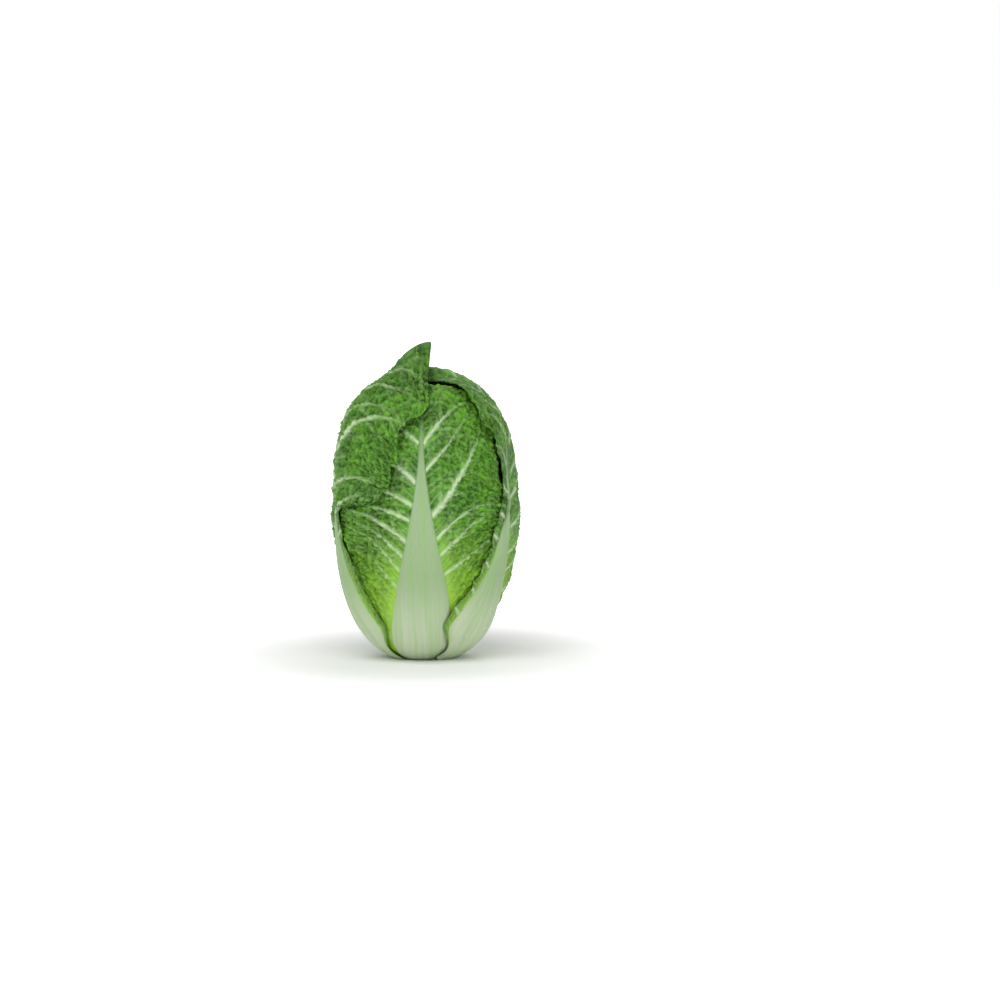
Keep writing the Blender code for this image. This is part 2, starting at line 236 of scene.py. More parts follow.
def outline(leaf, side, along):
    """Half width of the blade on one side: a narrow wing by the stalk, then the full blade."""
    share = np.clip((along - side.start) / (leaf.length - side.start), 0, 1)
    rising = np.sin(np.minimum(share / side.widest, 1) * math.pi / 2)
    past = np.clip((share - side.widest) / (1 - side.widest), 0, 1)
    closing = (1 - past**side.fullness) ** (1 / side.fullness)
    narrow = rib_half_width(leaf, along) + WING * smoothstep(*WING_START, along)
    beat = np.sin(along / RIPPLE_BEAT + 2 * leaf.azimuth)
    ripple = 1 + RIPPLE * np.sin(along / RIPPLE_RUN + leaf.azimuth) * beat
    teeth = TOOTH * hills(along, np.zeros_like(along), TOOTH_RUN, leaf.seed)
    teeth += JAG * hills(along, np.full_like(along, side.start), JAG_RUN, leaf.seed + 20)
    wide = side.width * rising * closing
    if side.margin:
        wide = np.interp(along, *np.transpose(side.margin))
    return np.maximum(wide, narrow * closing) * ripple + teeth * smoothstep(*TEETH_START, along)


def feather(leaf, side, blade, row):
    """Flat place of a blade spot: rows run from the rib up and out to the margin."""
    along = np.linspace(0, leaf.length, OUTLINE_SAMPLES)
    edge = outline(leaf, side, along)
    run = np.concatenate([[0], np.cumsum(np.hypot(np.diff(edge), np.diff(along)))])
    kept = run <= run[-1] * TIP_SHARE
    along, edge, run = along[kept], edge[kept], run[kept]
    root = np.maximum.accumulate(along - SWEEP * (edge - edge[0])) + SPREAD_SHARE * run
    root = (root - root[0]) / (root[-1] - root[0])
    margin_along = np.interp(row, root, along)
    margin_across = np.interp(row, root, edge)
    rib_along = row * leaf.length
    rib_across = np.minimum(rib_half_width(leaf, rib_along), margin_across * RIB_ROOM)
    bow = blade + VEIN_BOW * blade * (1 - blade)
    return (
        rib_across + (margin_across - rib_across) * blade,
        rib_along + (margin_along - rib_along) * bow,
    )


def blade_share(u):
    """How far out over the blade a grid spot is: 0 all over the rib, 1 at the margin."""
    return np.clip((np.abs(u) - RIB_SHARE) / (1 - RIB_SHARE), 0, 1)


def flat_leaf(leaf, u, v):
    """Across and along of the grid spot u in [-1, 1], v in [0, 1]. The middle third of u is the rib."""
    rib_share = np.clip(np.abs(u) / RIB_SHARE, 0, 1)
    right = feather(leaf, leaf.right, blade_share(u), v)
    left = feather(leaf, leaf.left, blade_share(u), v)
    across = np.where(u > 0, right[0], left[0])
    along = np.where(u > 0, right[1], left[1])
    across = np.where(rib_share < 1, across * rib_share, across)
    return np.sign(u) * across, along


def blade_room(leaf, u, v):
    """1 where the blade is broad, and less where it is only a narrow wing beside the rib."""
    margin = np.abs(flat_leaf(leaf, np.where(u > 0, 1.0, -1.0), v)[0])
    return smoothstep(0, ROOM_WIDTH, margin - rib_half_width(leaf, v * leaf.length))


# %% [markdown]
# ## Veins
# The side veins are what makes the leaf read as cabbage: thick and white where they leave the rib, then
# forking and thinning into a raised net. They are grown on the flat leaf, vein by vein, as lists of spots
# with a width. All spots are then stamped into a fine chart of the leaf, from which the mesh reads how
# high it stands and how white it is. Stamping is quick and lets veins cross the grid at any angle.

# %% Growing veins
VEIN_STEP = 0.0008
CHART_STEP = 0.0005
CHART_HALF = 0.115
CHART_LENGTH = 0.345
WANDER = 2.2
WANDER_SHARE = 0.35
VEIN_TAPER = 0.85
BRANCH_SPACING = (0.0125, 0.0065)
BRANCH_REACH = (0.030, 0.012)
BRANCH_WIDTH = (0.5, 0.6)
BRANCH_TURN = (32, 55)
LAST_BRANCH = 0.93
FIRST_VEIN = 0.060
LAST_VEIN = 0.90
FIRST_FINE_VEIN = 0.020
LAST_FINE_VEIN = 0.93
DENSE_END = 0.150
BRANCHING_WIDTH = 0.0015
ROOTED = 0.94
RibVein = namedtuple("RibVein", "side height heading bend reach width")


def grown(start, heading, bend, reach, width, rng):
    """Spots of one vein: across, along, width. The heading is in degrees from straight up the leaf."""
    count = max(int(reach / VEIN_STEP), 2)
    share = np.linspace(0, 1, count)
    wander = np.cumsum(rng.normal(0, WANDER, count)) * WANDER_SHARE
    angle = np.radians(heading + bend * share + wander)
    across = start[0] + np.cumsum(np.sin(angle)) * VEIN_STEP
    along = start[1] + np.cumsum(np.cos(angle)) * VEIN_STEP
    return np.stack([across, along, width * (1 - VEIN_TAPER * share)], -1), np.degrees(angle)


def branched(start, heading, bend, reach, width, rng, level=0):
    """A vein with its branches, which leave it by turns on both sides."""
    spots, angles = grown(start, heading, bend, reach, width, rng)
    vein = [spots]
    spacing = BRANCH_SPACING[min(level, 1)]
    side = 1 if rng.random() < 0.5 else -1
    spot = int(spacing * rng.uniform(0.6, 1.2) / VEIN_STEP)
    while level < 2 and spot < len(spots) * LAST_BRANCH:
        left_over = 1 - spot / len(spots)
        turn = side * rng.uniform(*BRANCH_TURN)
        length = BRANCH_REACH[level] * rng.uniform(0.6, 1.15) * (0.45 + 0.55 * left_over)
        thin = BRANCH_WIDTH[level] * spots[spot, 2]
        vein += branched(spots[spot, :2], angles[spot] + turn, -0.4 * turn, length, thin, rng, level + 1)
        side = -side
        spot += int(spacing * rng.uniform(0.75, 1.3) / VEIN_STEP)
    return vein


def rule_veins(leaf, side, rng):
    """The veins of a side that the photo doesn't show one by one: steep at the foot, wider apart above."""
    veins = []
    along = FIRST_VEIN
    while along < leaf.length * LAST_VEIN:
        share = along / leaf.length
        heading = 52 - 18 * share + rng.uniform(-5, 5)
        reach, width = 0.095 - 0.035 * share, 0.0030 - 0.0012 * share
        veins.append(RibVein(side, along, heading, rng.uniform(-14, 22), reach, width))
        along += rng.uniform(0.017, 0.027)
    return veins


def leaf_veins(leaf):
    """All vein spots of a leaf: the named ones, the rule's for the rest, and fine ones between them."""
    rng = np.random.default_rng(leaf.seed)
    veins = [vein._replace(height=along_at(vein.height)) for vein in leaf.ribs]
    for side in (-1, 1):
        if not any(vein.side == side for vein in veins):
            veins += rule_veins(leaf, side, rng)
        along = FIRST_FINE_VEIN
        while along < leaf.length * LAST_FINE_VEIN:
            heading = 38 + rng.uniform(-6, 8)
            reach = rng.uniform(0.014, 0.036)
            bend = rng.uniform(0, 12)
            width = rng.uniform(0.0008, 0.0013)
            veins.append(RibVein(side, along, heading, bend, reach, width))
            along += rng.uniform(0.003, 0.0055) if along < DENSE_END else rng.uniform(0.006, 0.010)
    spots = []
    for vein in veins:
        start = (rib_half_width(leaf, vein.height) * ROOTED, vein.height)
        level = 0 if vein.width > BRANCHING_WIDTH else 1
        for part in branched(start, vein.heading, vein.bend, vein.reach, vein.width, rng, level):
            part[:, 0] *= vein.side
            spots.append(part)
    return np.concatenate(spots)


# %% Stamping veins into a chart
STAMP_REACH = 2.6


def stamped(spots, spread, least, strength):
    """Chart of the flat leaf: at each cell the highest of the soft round stamps that reach it."""
    chart = np.zeros((int(2 * CHART_HALF / CHART_STEP), int(CHART_LENGTH / CHART_STEP)))
    for across, along, width in spots:
        sigma = max(width * spread, least)
        reach = int(STAMP_REACH * sigma / CHART_STEP) + 1
        column = int((across + CHART_HALF) / CHART_STEP)
        row = int(along / CHART_STEP)
        if not (reach < column < chart.shape[0] - reach and reach < row < chart.shape[1] - reach):
            continue
        x = (np.arange(column - reach, column + reach + 1) + 0.5) * CHART_STEP - CHART_HALF - across
        y = (np.arange(row - reach, row + reach + 1) + 0.5) * CHART_STEP - along
        stamp = strength(width) * np.exp(-(x[:, None] ** 2 + y[None, :] ** 2) / (2 * sigma**2))
        window = chart[column - reach : column + reach + 1, row - reach : row + reach + 1]
        np.maximum(window, stamp, out=window)
    return chart


def read_chart(chart, across, along):
    """The chart's value at flat places, blended between its cells."""
    column = np.clip((across + CHART_HALF) / CHART_STEP - 0.5, 0, chart.shape[0] - 2)
    row = np.clip(along / CHART_STEP - 0.5, 0, chart.shape[1] - 2)
    left, low = column.astype(int), row.astype(int)
    right, up = column - left, row - low
    lower = chart[left, low] * (1 - right) + chart[left + 1, low] * right
    upper = chart[left, low + 1] * (1 - right) + chart[left + 1, low + 1] * right
    return lower * (1 - up) + upper * up


# %% [markdown]
# ## Settling a leaf on the others
# A leaf lies on whatever is beneath it. Rays are sent in from outside onto the leaves that are already
# there, the highest hit round each spot is the floor, and the leaf is pulled taut over that floor like a
# cloth. This gives the soft bulges where a rib lies under a blade, and no leaf pokes through the next.

# %% Settling
LAYER_GAP = 0.0005
FINE = 3
DRAPE_CELLS = (24, 34)
DRAPE_ROUNDS = 14
RAY_HEIGHT = 0.10
SMOOTHING_ROUNDS = 6
BLUR = ((0, 0, 0.4), (-1, 0, 0.15), (1, 0, 0.15), (0, -1, 0.15), (0, 1, 0.15))


def blurred(grid):
    """The grid with each cell averaged with its four neighbours."""
    padded = np.pad(grid, 1, mode="edge")
    rows, columns = grid.shape
    return sum(weight * padded[1 + i : 1 + i + rows, 1 + j : 1 + j + columns] for i, j, weight in BLUR)


def settled(leaf, beneath):
    """Height over the barrel at which the leaf lies on those beneath it, on a coarse grid."""
    columns, rows = DRAPE_CELLS
    u, v = np.meshgrid(np.linspace(-1, 1, FINE * columns + 1), np.linspace(0, 1, FINE * rows + 1))
    across, along = flat_leaf(leaf, u, v)
    point, normal = on_barrel(leaf_direction(leaf, across, along))
    support = np.zeros(u.shape)
    for index in np.ndindex(u.shape):
        start = Vector(point[index] + normal[index] * RAY_HEIGHT)
        inward = Vector(-normal[index])
        for tree in beneath:
            distance = tree.ray_cast(start, inward)[3]
            if distance is not None:
                support[index] = max(support[index], RAY_HEIGHT - distance)
    padded = np.pad(support, FINE, mode="edge")
    window = range(2 * FINE + 1)
    nearby = [padded[i : i + support.shape[0], j : j + support.shape[1]] for i in window for j in window]
    floor = np.max(nearby, axis=0)[::FINE, ::FINE] + LAYER_GAP
    height = floor.copy()
    for _ in range(DRAPE_ROUNDS):
        height = np.maximum(floor, blurred(height))
    return height


def spread_out(grid, columns, rows):
    """The coarse grid read at every row and column of a fine one, then smoothed."""
    old_rows, old_columns = np.linspace(0, 1, grid.shape[0]), np.linspace(0, 1, grid.shape[1])
    new_rows, new_columns = np.linspace(0, 1, rows + 1), np.linspace(0, 1, columns + 1)
    tall = np.array([np.interp(new_rows, old_rows, column) for column in grid.T]).T
    wide = np.array([np.interp(new_columns, old_columns, row) for row in tall])
    for _ in range(SMOOTHING_ROUNDS):
        wide = blurred(wide)
    return wide


# %% [markdown]
# ## One leaf
# The grid is a primitive, extruded once in edit mode into a closed slab with an inner and an outer face.
# Each vertex then gets its place from the flat leaf: the barrel's skin, the settled height, and the waves
# of the blade. The thickness is added along the leaf's own normal, so that a margin may roll over. A broad
# crescent rib, raised veins and the puckered quilt between them make the outer face.

# %% Relief of a leaf
BLADE_THICKNESS = 0.0009
STALK_ROOT_SHARE = 0.25
STALK_ROOT = (0.008, 0.065)
STALK_TAPER = 1.2
STRIPE_HEIGHT = 0.00028
STRIPE_PAIRS = 5.5
VEIN_RISE = 0.42
BROAD_RISE = 0.55
THICK_VEIN = 0.0011
WHITE_VEIN = 0.0026
# Each stamp's spread as a share of the vein's width, and its least spread in metres.
HEIGHT_STAMP = (0.42, 0.0006)
BROAD_STAMP = (1.6, 0.0035)
WHITE_STAMP = (0.38, 0.00045)
NET_CELL = 0.0078
NET_HEIGHT = 0.0024
FINE_CELL = 0.0041
FINE_HEIGHT = 0.0012
QUILT_START = (0.02, 0.10)
CRUMPLE_REACH = 0.075
CRUMPLE_SLANT = 0.30
FOLD_SIZE = 0.0125
SMALL_FOLD_SIZE = 0.0062
CRUMPLE_START = (0.02, 0.40)
RIB_EDGE = (-0.0012, 0.0006)
RIB_FADE = (0.80, 0.93)
CURL_EASE = 0.014
CURL_RETURN = (0.80, 0.95)
# The strip beside a curled margin that gets painted shade, in shares of the grid, and how dark it is painted.
HOLLOW_STRIP = (0.20, 0.04)
HOLLOW_SHADE_STRENGTH = 100
SHORT_WAVE = 0.011
FRILL_WAVE = 0.0048
FRILL_HEIGHT = 0.0016


def charts(leaf):
    """Three charts of the leaf's veins: how high they stand, how broadly they lift the blade, how white."""
    spots = leaf_veins(leaf)
    thick = spots[spots[:, 2] > THICK_VEIN]
    height = stamped(spots, *HEIGHT_STAMP, lambda width: VEIN_RISE * width)
    broad = stamped(thick[::4], *BROAD_STAMP, lambda width: BROAD_RISE * width)
    white = stamped(spots, *WHITE_STAMP, lambda width: min(1.0, 0.06 + 1.02 * (width / WHITE_VEIN) ** 1.25))
    return height, broad, white


def crumpled(leaf, blade, v):
    """Creases of the blade that follow the veins, from 0 in their troughs to 1 on their ridges."""
    across = blade * CRUMPLE_REACH
    slant = v * leaf.length - CRUMPLE_SLANT * across
    folds = hills(across, slant, FOLD_SIZE, leaf.seed + 3)
    fine = hills(across * 0.8, slant, SMALL_FOLD_SIZE, leaf.seed + 4)
    return 1 - np.abs(0.75 * folds + 0.45 * fine) * 1.25


def curl_run(curl, along):
    """1 along the stretch of margin that curls, easing to 0 beyond both ends."""
    below = smoothstep(curl.low - CURL_EASE, curl.low, along)
    return below * (1 - smoothstep(curl.high, curl.high + CURL_EASE, along))


def hollow_shade(curl, u, along):
    """Painted shade for the sheltered strip beside a curled margin, where little light reaches."""
    far, near = (curl.start - share for share in HOLLOW_STRIP)
    beside = smoothstep(far, near, -u) * (1 - smoothstep(curl.start, curl.stop, -u))
    return HOLLOW_SHADE_STRENGTH * curl.height * beside * curl_run(curl, along)


def leaf_relief(leaf, u, v, flat):
    """Relief and masks of a leaf on its whole grid, as a dictionary of fields."""
    blade = blade_share(u)
    across, along = flat[..., 0], flat[..., 1]
    height, broad, white = (read_chart(chart, across, along) for chart in charts(leaf))
    room = blade_room(leaf, u, v)
    open_blade = smoothstep(0.0, 0.12, blade) * (0.25 + 0.75 * room)
    net = cell_walls(across, along, NET_CELL, leaf.seed + 1)
    fine = cell_walls(across, along, FINE_CELL, leaf.seed + 2)
    quilt = leaf.quilt * open_blade * (NET_HEIGHT * net + FINE_HEIGHT * fine)
    quilt *= smoothstep(*QUILT_START, along)
    crumple = leaf.crumple * crumpled(leaf, blade, v) * smoothstep(*CRUMPLE_START, blade) * room
    rib = 1 - smoothstep(*RIB_EDGE, np.abs(across) - rib_half_width(leaf, along))
    rib *= 1 - 0.8 * smoothstep(*RIB_FADE, v)
    crest = np.clip(1 - np.abs(u / RIB_SHARE) ** 2.6, 0, 1) ** 0.62
    root = STALK_ROOT_SHARE + (1 - STALK_ROOT_SHARE) * smoothstep(*STALK_ROOT, along)
    stalk = leaf.rib_thickness * np.clip(1 - v, 0, 1) ** STALK_TAPER * root * crest
    warp = 0.16 * hills(u * 0.4, v, 0.35, leaf.seed + 5)
    beat = np.sin(2 * math.pi * (STRIPE_PAIRS * np.abs(u) / RIB_SHARE + warp))
    stripes = STRIPE_HEIGHT * beat * crest * (1 - v) ** 0.5
    # Painted shade: a mask that darkens the colour in the crumple creases, inside the net's cells and in the
    # hollow by a curled margin.
    painted_shade = 0.75 * (1 - crumple / max(leaf.crumple, 1e-6)) * smoothstep(0.05, 0.4, blade)
    painted_shade += 0.35 * (1 - net) * (0.5 + 0.5 * hills(across, along, 0.009, leaf.seed + 8))
    painted_shade += hollow_shade(leaf.curl, u, along)
    return dict(
        inner=quilt * 0.8 + crumple,
        thickness=BLADE_THICKNESS + stalk + stripes + height * (1 - 0.7 * rib) + quilt * 0.2,
        lift=broad * open_blade,
        rib=rib,
        vein=np.clip(white * (1 - rib) * np.where(blade > 0, 1, 0), 0, 1),
        net=np.clip(net * 0.8 + fine * 0.5, 0, 1) * open_blade,
        painted_shade=np.clip(painted_shade, 0, 1) * open_blade,
    )


def margin_waves(leaf, u, v):
    """The blade waves towards its margin, more the further out, with a finer frill at the very edge."""
    blade = blade_share(u)
    long_wave = 0.5 + 0.5 * np.sin(2 * math.pi * v * leaf.frill + leaf.azimuth)
    side = np.sign(u) * 0.5
    short_wave = 0.5 + 0.5 * hills(v * leaf.length, side, SHORT_WAVE, leaf.seed + 6)
    frill = 0.5 + 0.5 * hills(v * leaf.length, side, FRILL_WAVE, leaf.seed + 7)
    waves = leaf.wave * (0.6 * long_wave + 0.5 * short_wave) * blade**2 + FRILL_HEIGHT * frill * blade**6
    return waves * blade_room(leaf, u, v)


def tip_and_flare(leaf, u, v, along):
    """How far the leaf stands off the head at its tip, and at a margin that curls away."""
    middle = 1 - 0.9 * smoothstep(0.2, 0.8, np.abs(u))
    tip = leaf.lift * smoothstep(leaf.lift_from, leaf.length, along) * middle
    side = np.where(u > 0, leaf.flare[1], leaf.flare[0])
    flare = side * smoothstep(0.5, 1.0, np.abs(u)) * smoothstep(0.15, 0.60, v) * (1 - smoothstep(0.75, 1, v))
    curl = leaf.curl
    rolled = smoothstep(curl.start, curl.stop, -u) * (1 - smoothstep(*CURL_RETURN, -u))
    return tip + flare + curl.height * rolled * curl_run(curl, along)


def sheet_normals(place):
    """Outward normals of a grid of places, row by row up the leaf."""
    up, across = np.gradient(place, axis=0), np.gradient(place, axis=1)
    normal = np.cross(across, up)
    return normal / np.maximum(np.linalg.norm(normal, axis=-1, keepdims=True), 1e-12)


def tree_of(place):
    """A search tree of every second row and column of a grid of places."""
    thin = place[::2, ::2]
    rows, columns = thin.shape[:2]
    corner = np.arange(rows * columns).reshape(rows, columns)
    quads = np.stack([corner[:-1, :-1], corner[:-1, 1:], corner[1:, 1:], corner[1:, :-1]], -1).reshape(-1, 4)
    return BVHTree.FromPolygons(thin.reshape(-1, 3).tolist(), quads.tolist())


# %% Mesh helpers
def deselect():
    """Leaves edit mode and clears the selection, so that the next step starts clean."""
    if bpy.context.object and bpy.context.object.mode != "OBJECT":
        bpy.ops.object.mode_set(mode="OBJECT")
    bpy.ops.object.select_all(action="DESELECT")


def slab(name, columns, rows):
    """A closed two-sided grid: x is u, y is v, and z is 0 on the inner face and 1 on the outer."""
    deselect()
    bpy.ops.mesh.primitive_grid_add(x_subdivisions=columns, y_subdivisions=rows, size=2)
    piece = bpy.context.object
    piece.name = piece.data.name = name
    bpy.ops.object.mode_set(mode="EDIT")
    bpy.ops.mesh.select_all(action="SELECT")
    bpy.ops.mesh.extrude_region_move(TRANSFORM_OT_translate={"value": (0, 0, 1)})
    bpy.ops.mesh.select_all(action="SELECT")
    bpy.ops.mesh.normals_make_consistent(inside=False)
    bpy.ops.object.mode_set(mode="OBJECT")
    return piece


def vertex_places(piece):
    places = np.empty(len(piece.data.vertices) * 3, dtype=np.float32)
    piece.data.vertices.foreach_get("co", places)
    return places.reshape(-1, 3)


def move_vertices(piece, places):
    piece.data.vertices.foreach_set("co", places.astype(np.float32).ravel())


def store(piece, name, values):
    """Keeps a number or a vector at every vertex, for the material to read."""
    kind, key = ("FLOAT_VECTOR", "vector") if values.ndim == 2 else ("FLOAT", "value")
    attribute = piece.data.attributes.new(name, kind, "POINT")
    attribute.data.foreach_set(key, values.astype(np.float32).ravel())


def cut(piece, cutter):
    """Cuts one piece with another and keeps what is left."""
    trim = piece.modifiers.new("cut", "BOOLEAN")
    trim.operation = "DIFFERENCE"
    trim.object = cutter
    trim.solver = "MANIFOLD"
    bpy.context.view_layer.objects.active = piece
    bpy.ops.object.modifier_apply(modifier=trim.name)


def dressed(piece, node, materials):
    """Gives a finished piece its materials, and puts it in its CAD node's place."""
    piece.data.materials.clear()
    for material in materials:
        piece.data.materials.append(material)
    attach(piece, "root")
    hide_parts(node)


# %% Making a leaf
CUT_DEPTH = 0.0002
FACING_DOWN = -0.95
SEED_SHIFT = 0.01


def make_leaf(leaf, beneath, cutters):
    """One leaf, settled on those beneath it. Returns the piece and its tree."""
    columns, rows = leaf.cells
    u, v = np.meshgrid(np.linspace(-1, 1, columns + 1), np.linspace(0, 1, rows + 1))
    flat = np.stack(flat_leaf(leaf, u, v), -1)
    point, normal = on_barrel(leaf_direction(leaf, flat[..., 0], flat[..., 1]))
    relief = leaf_relief(leaf, u, v, flat)
    height = spread_out(settled(leaf, beneath), columns, rows)
    height = height + relief["inner"] + relief["lift"] + margin_waves(leaf, u, v)
    height = height + tip_and_flare(leaf, u, v, flat[..., 1])
    inner = point + normal * height[..., None]
    outer = inner + sheet_normals(inner) * relief["thickness"][..., None]

    piece = slab("shown_" + leaf.name, columns, rows)
    grid = vertex_places(piece)
    column = np.rint((grid[:, 0] + 1) / 2 * columns).astype(int)
    row = np.rint((grid[:, 1] + 1) / 2 * rows).astype(int)
    skin = grid[:, 2:] > 0.5
    move_vertices(piece, np.where(skin, outer[row, column], inner[row, column]))
    for name in ("rib", "vein", "net", "painted_shade"):
        store(piece, name, relief[name][row, column])
    store(piece, "blade", blade_share(u)[row, column])
    shift = np.full((len(row), 1), SEED_SHIFT * leaf.seed)
    store(piece, "flat", np.concatenate([flat[row, column], shift], axis=1))
    piece.data.update()
    for cutter in cutters:
        cut(piece, cutter)
    piece.data.shade_smooth()
    for face in piece.data.polygons:
        if face.center.z < CUT_DEPTH and face.normal.z < FACING_DOWN:
            face.material_index = 1
            face.use_smooth = False
    print(leaf.name, len(piece.data.polygons), "faces, top at", round(1000 * outer[..., 2].max()), "mm")
    return piece, tree_of(outer)


# %% [markdown]
# ## Finishes
# A cabbage leaf is waxy and only half opaque. Its colour runs from near-white in the rib and the thick
# veins, through yellow-green at the sheltered foot of the blade, to a deep green where light reaches it.
# The mesh already carries masks for rib, veins, net and painted shade in creases and hollows, so each finish
# mixes its greens by them and adds what is too fine for the mesh: the smallest net, a grain, and faint fibres
# along the rib.

# %% Node helpers
def join(tree, source, target):
    tree.links.new(source, target)


def add_node(tree, kind, inputs=None, **settings):
    """A node with its settings, its inputs joined to other nodes or set to values."""
    made = tree.nodes.new(kind)
    for name, value in settings.items():
        setattr(made, name, value)
    for key, value in (inputs or {}).items():
        if isinstance(value, bpy.types.NodeSocket):
            join(tree, value, made.inputs[key])
        else:
            made.inputs[key].default_value = value
    return made


def new_material(name):
    """A material, its node tree and its Principled shader."""
    material = bpy.data.materials.new(name)
    material.use_nodes = True
    return material, material.node_tree, material.node_tree.nodes["Principled BSDF"]


def read_mask(tree, name):
    return add_node(tree, "ShaderNodeAttribute", attribute_name=name).outputs["Fac"]


def math_node(tree, operation, first, second):
    return add_node(tree, "ShaderNodeMath", {0: first, 1: second}, operation=operation).outputs[0]


def mixed(tree, amount, low, high):
    """A colour between two colours, by a mask or a number."""
    low, high = ((*colour, 1) if isinstance(colour, tuple) else colour for colour in (low, high))
    return add_node(tree, "ShaderNodeMix", {0: amount, 6: low, 7: high}, data_type="RGBA").outputs[2]


def ranged(tree, value, low, high, to_low=0.0, to_high=1.0):
    """A value eased from one range to another."""
    limits = {"Value": value, "From Min": low, "From Max": high, "To Min": to_low, "To Max": to_high}
    return add_node(tree, "ShaderNodeMapRange", limits, interpolation_type="SMOOTHSTEP").outputs["Result"]


def noise(tree, vector, scale, detail=3.0, stretch=None):
    if stretch:
        vector = add_node(tree, "ShaderNodeMapping", {"Scale": stretch, "Vector": vector}).outputs["Vector"]
    inputs = {"Scale": scale, "Detail": detail, "Vector": vector}
    return add_node(tree, "ShaderNodeTexNoise", inputs).outputs["Fac"]


# %% The fine net as a shared group
GRAIN_SCALE = 900


def fine_net_group():
    """Smallest veins and the grain of the leaf's skin, on the flat leaf's own places."""
    group = bpy.data.node_groups.new("fine_net", "ShaderNodeTree")
    group.interface.new_socket("Flat", in_out="INPUT", socket_type="NodeSocketVector")
    group.interface.new_socket("Cells per metre", in_out="INPUT", socket_type="NodeSocketFloat")
    group.interface.new_socket("Net", in_out="OUTPUT", socket_type="NodeSocketFloat")
    group.interface.new_socket("Grain", in_out="OUTPUT", socket_type="NodeSocketFloat")
    source = group.nodes.new("NodeGroupInput")
    target = group.nodes.new("NodeGroupOutput")
    inputs = {"Vector": source.outputs["Flat"], "Scale": source.outputs["Cells per metre"]}
    cells = add_node(group, "ShaderNodeTexVoronoi", inputs, feature="DISTANCE_TO_EDGE")
    join(group, ranged(group, cells.outputs["Distance"], 0.01, 0.11, 1.0, 0.0), target.inputs["Net"])
    join(group, noise(group, source.outputs["Flat"], GRAIN_SCALE, 4.0), target.inputs["Grain"])
    return group


FINE_NET = fine_net_group()


# %% The leaf finish
Greens = namedtuple("Greens", "deep light young rib vein")
WHITE_RIB = (0.46, 0.60, 0.35)
PALE_VEIN = (0.19, 0.43, 0.055)
RIB_GREEN = (0.275, 0.375, 0.212)
RIB_FOOT = (0.560, 0.640, 0.460)
SKIN_CELLS = 330
VEINLETS = ((130, 0.55), (330, 0.30))
WARP_SCALE = 90
WARP = 0.006
CLOUD_SCALE = 32
# Sizes of the random dark patches painted as shade over the blade.
SHADE_MOTTLE_SCALE = 190
POCKET_SHADE_SCALE = 85
FIBRE_SCALE = 210
FIBRE_STRETCH = (1, 0.035, 1)
YOUNG_HEIGHT = (0.035, 0.150)
PALE_FOOT_HEIGHT = (0.015, 0.090)
ROUGHNESS = (0.44, 0.62)
SKIN = {
    "Specular IOR Level": 0.14,
    "Subsurface Weight": 0.08,
    "Subsurface Radius": (0.0035, 0.0050, 0.0015),
    "Subsurface Scale": 1.0,
}


def darker(colour, share):
    return tuple(share * value for value in colour)


